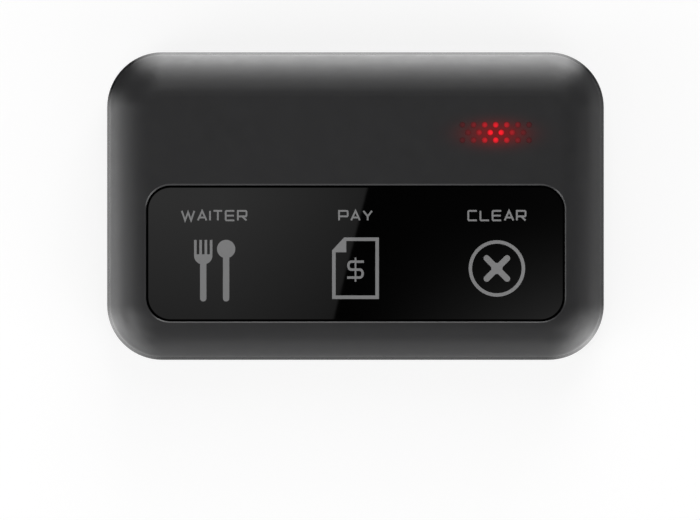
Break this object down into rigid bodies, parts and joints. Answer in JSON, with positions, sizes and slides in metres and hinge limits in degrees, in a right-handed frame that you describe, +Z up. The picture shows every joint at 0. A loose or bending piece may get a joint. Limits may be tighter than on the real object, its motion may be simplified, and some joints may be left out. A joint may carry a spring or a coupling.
{
  "type": "waiter call button",
  "caption": "Flat pebble-shaped table call button: press keys under one glossy film, a grid of red indicator dots and a coin-slot battery door underneath.",
  "frame": {"origin": "on the table, under the middle of the case's outline", "axes": "+X to the right and +Y away from the person who presses the keys, +Z up from the table"},
  "size_m": [0.088, 0.0544, 0.017],
  "materials": {
    "case_plastic": "fine satin moulded texture, charcoal",
    "base_plastic": "fine satin moulded texture, charcoal",
    "film_gloss": "gloss black printed film",
    "adhesive": "black double-sided tape",
    "actuator_plastic": "plain moulded dark grey",
    "light_guide": "translucent dark red, moulded",
    "led_lens": "clear red epoxy",
    "board_laminate": "green solder mask over glass laminate",
    "bare_steel": "nickel-plated steel",
    "spring_metal": "gold-flashed spring alloy",
    "tinned_metal": "tinned",
    "black_epoxy": "moulded epoxy, matte",
    "switch_plastic": "moulded black nylon",
    "plunger_plastic": "moulded black",
    "aluminium_can": "drawn, bright",
    "chip_ceramic": "fired, tan",
    "resistor_body": "glazed dark",
    "copper_wire": "enamelled copper wire",
    "cell_steel": "bright nickel-plated steel",
    "seal_polymer": "moulded grey",
    "gasket_silicone": "soft silicone",
    "screw_steel": "zinc-plated steel",
    "foot_rubber": "matte rubber"
  },
  "bodies": {
    "case": {"top_cover": "case_plastic", "panel_film": "film_gloss", "film_adhesive": "adhesive", "light_guide": "light_guide", "circuit_board": "board_laminate", "board_screws": "screw_steel", "switch_housings": "switch_plastic", "switch_plates": "bare_steel", "switch_terminals": "tinned_metal", "indicator_led": "led_lens", "led_leads": "tinned_metal", "encoder_chip": "black_epoxy", "encoder_pins": "tinned_metal", "radio_chip": "black_epoxy", "radio_pins": "tinned_metal", "crystal_can": "bare_steel", "reservoir_capacitor": "aluminium_can", "reservoir_base": "black_epoxy", "chip_capacitors": "chip_ceramic", "chip_resistors": "resistor_body", "antenna_coil": "copper_wire", "leaf_contact": "spring_metal", "side_contact": "spring_metal", "cell_can": "cell_steel", "cell_seal": "seal_polymer", "cell_cap": "cell_steel", "base_cover": "base_plastic", "case_gasket": "gasket_silicone", "case_screws": "screw_steel", "rubber_feet": "foot_rubber", "waiter_dome": "spring_metal", "bill_dome": "spring_metal", "cancel_dome": "spring_metal"},
    "waiter_key": {"waiter_actuator": "actuator_plastic", "waiter_plunger": "plunger_plastic"},
    "bill_key": {"bill_actuator": "actuator_plastic", "bill_plunger": "plunger_plastic"},
    "cancel_key": {"cancel_actuator": "actuator_plastic", "cancel_plunger": "plunger_plastic"},
    "battery_door": {"battery_door": "base_plastic", "door_seal": "gasket_silicone"}
  },
  "joints": [
    {"name": "waiter_press", "type": "slide", "parent": "case", "child": "waiter_key", "axis": [0, 0, -1], "range_m": [0, 0.0003], "stiffness_N_per_m": 6000, "deforming": ["waiter_dome"]},
    {"name": "bill_press", "type": "slide", "parent": "case", "child": "bill_key", "axis": [0, 0, -1], "range_m": [0, 0.0003], "stiffness_N_per_m": 6000, "deforming": ["bill_dome"]},
    {"name": "cancel_press", "type": "slide", "parent": "case", "child": "cancel_key", "axis": [0, 0, -1], "range_m": [0, 0.0003], "stiffness_N_per_m": 6000, "deforming": ["cancel_dome"]},
    {"name": "battery_door_turn", "type": "hinge", "parent": "case", "child": "battery_door", "pos_m": [0, 0, 0.002], "axis": [0, 0, -1], "range_deg": [0, 45]}
  ]
}
